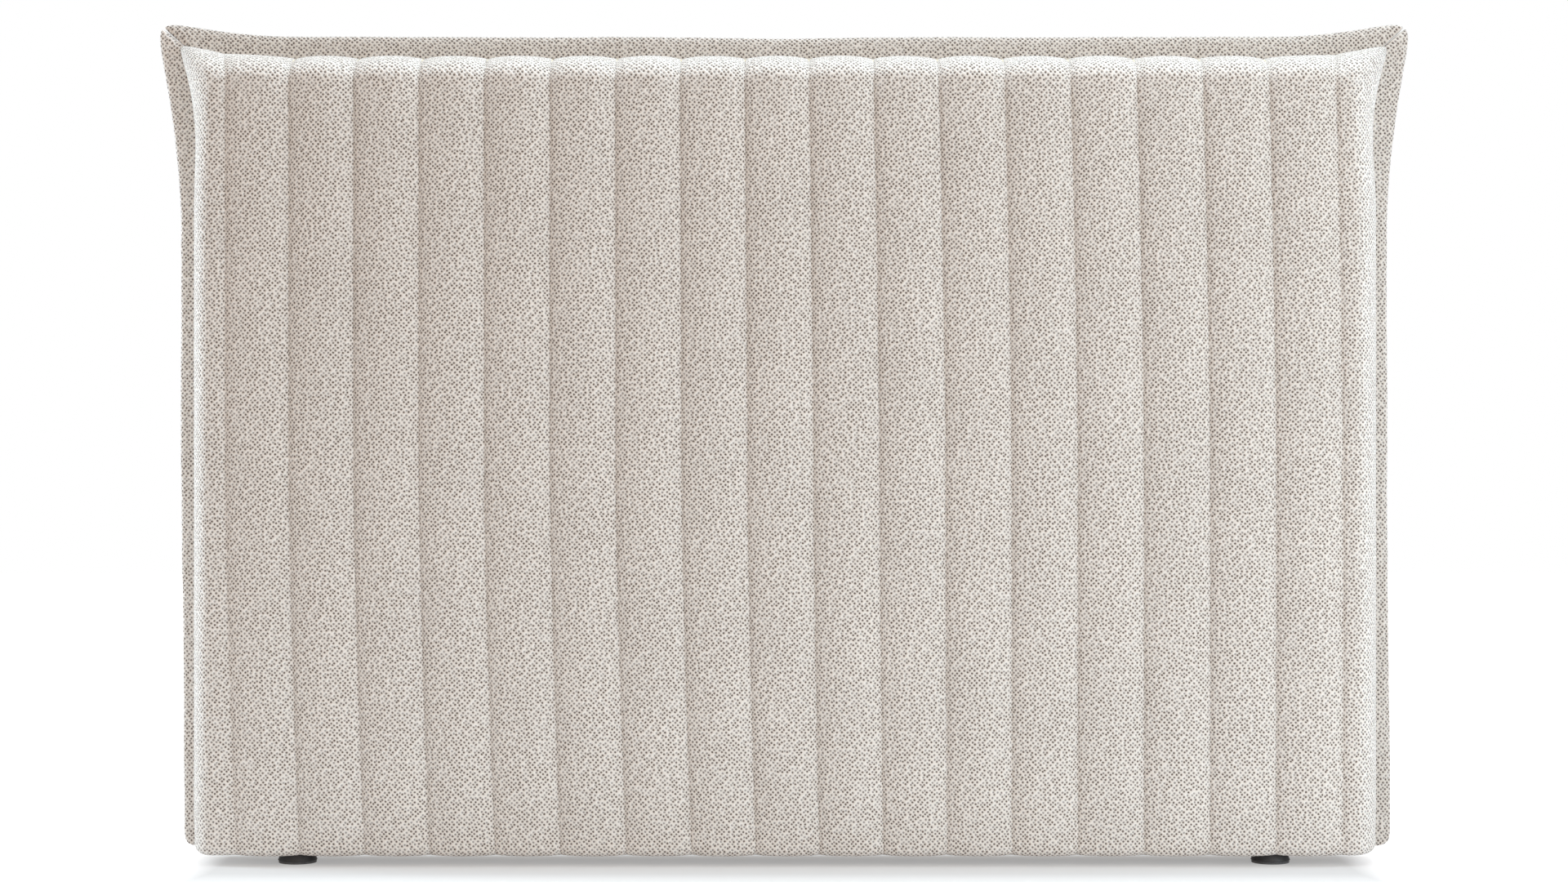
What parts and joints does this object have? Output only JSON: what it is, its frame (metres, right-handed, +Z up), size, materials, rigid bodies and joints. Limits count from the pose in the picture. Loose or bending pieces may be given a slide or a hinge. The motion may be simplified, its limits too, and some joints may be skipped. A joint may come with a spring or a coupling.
{
  "type": "upholstered headboard",
  "caption": "Floor-standing padded headboard with vertical channels, a flat flange with raised corners, glides and levelling feet.",
  "frame": {"origin": "on the floor, at the middle of the whole width and depth", "axes": "+X along the width, to the right seen from the front; +Y from the front face to the wall; +Z up"},
  "size_m": [1.7412, 0.1099, 1.164],
  "materials": {
    "cover_fabric": "matte",
    "upholstery_foam": "matte",
    "frame_timber": "matte",
    "hardboard": "matte",
    "dust_lining": "matte",
    "plated_steel": "satin",
    "screw_steel": "satin",
    "foot_plastic": "matte",
    "foot_felt": "matte"
  },
  "bodies": {
    "headboard": {"quilted_cover": "cover_fabric", "left_flange": "cover_fabric", "top_flange": "cover_fabric", "right_flange": "cover_fabric", "left_turnover": "cover_fabric", "right_turnover": "cover_fabric", "top_turnover": "cover_fabric", "bottom_turnover": "cover_fabric", "front_foam": "upholstery_foam", "left_side_foam": "upholstery_foam", "right_side_foam": "upholstery_foam", "top_foam": "upholstery_foam", "top_rail": "frame_timber", "bottom_rail": "frame_timber", "left_stile": "frame_timber", "right_stile": "frame_timber", "inner_left_upright": "frame_timber", "inner_right_upright": "frame_timber", "left_mid_rail": "frame_timber", "centre_mid_rail": "frame_timber", "right_mid_rail": "frame_timber", "left_top_corner_block": "frame_timber", "left_bottom_corner_block": "frame_timber", "right_top_corner_block": "frame_timber", "right_bottom_corner_block": "frame_timber", "face_board": "hardboard", "back_lining": "dust_lining", "frame_screws": "screw_steel", "mid_rail_screws": "screw_steel", "glide_screws": "screw_steel", "left_glide": "foot_plastic", "right_glide": "foot_plastic", "left_glide_felt": "foot_felt", "right_glide_felt": "foot_felt", "bracket_inserts": "plated_steel", "left_tee_nut": "plated_steel", "right_tee_nut": "plated_steel"},
    "left_levelling_foot": {"left_foot": "foot_plastic", "left_foot_pad": "foot_felt"},
    "left_foot_stem": {"left_foot_screw": "plated_steel"},
    "right_levelling_foot": {"right_foot": "foot_plastic", "right_foot_pad": "foot_felt"},
    "right_foot_stem": {"right_foot_screw": "plated_steel"}
  },
  "joints": [
    {"name": "left_foot_height", "type": "slide", "parent": "headboard", "child": "left_levelling_foot", "axis": [0, 0, -1], "range_m": [0, 0.015]},
    {"name": "left_screw_turn", "type": "hinge", "parent": "left_levelling_foot", "child": "left_foot_stem", "pos_m": [-0.672, -0.0075, 0.02], "axis": [0, 0, -1], "range_deg": [0, 4320]},
    {"name": "right_foot_height", "type": "slide", "parent": "headboard", "child": "right_levelling_foot", "axis": [0, 0, -1], "range_m": [0, 0.015]},
    {"name": "right_screw_turn", "type": "hinge", "parent": "right_levelling_foot", "child": "right_foot_stem", "pos_m": [0.672, -0.0075, 0.02], "axis": [0, 0, -1], "range_deg": [0, 4320]}
  ],
  "couplings": [
    {"joint": "left_screw_turn", "follows": "left_foot_height", "rad_per_m": 5026.5},
    {"joint": "right_screw_turn", "follows": "right_foot_height", "rad_per_m": 5026.5}
  ]
}
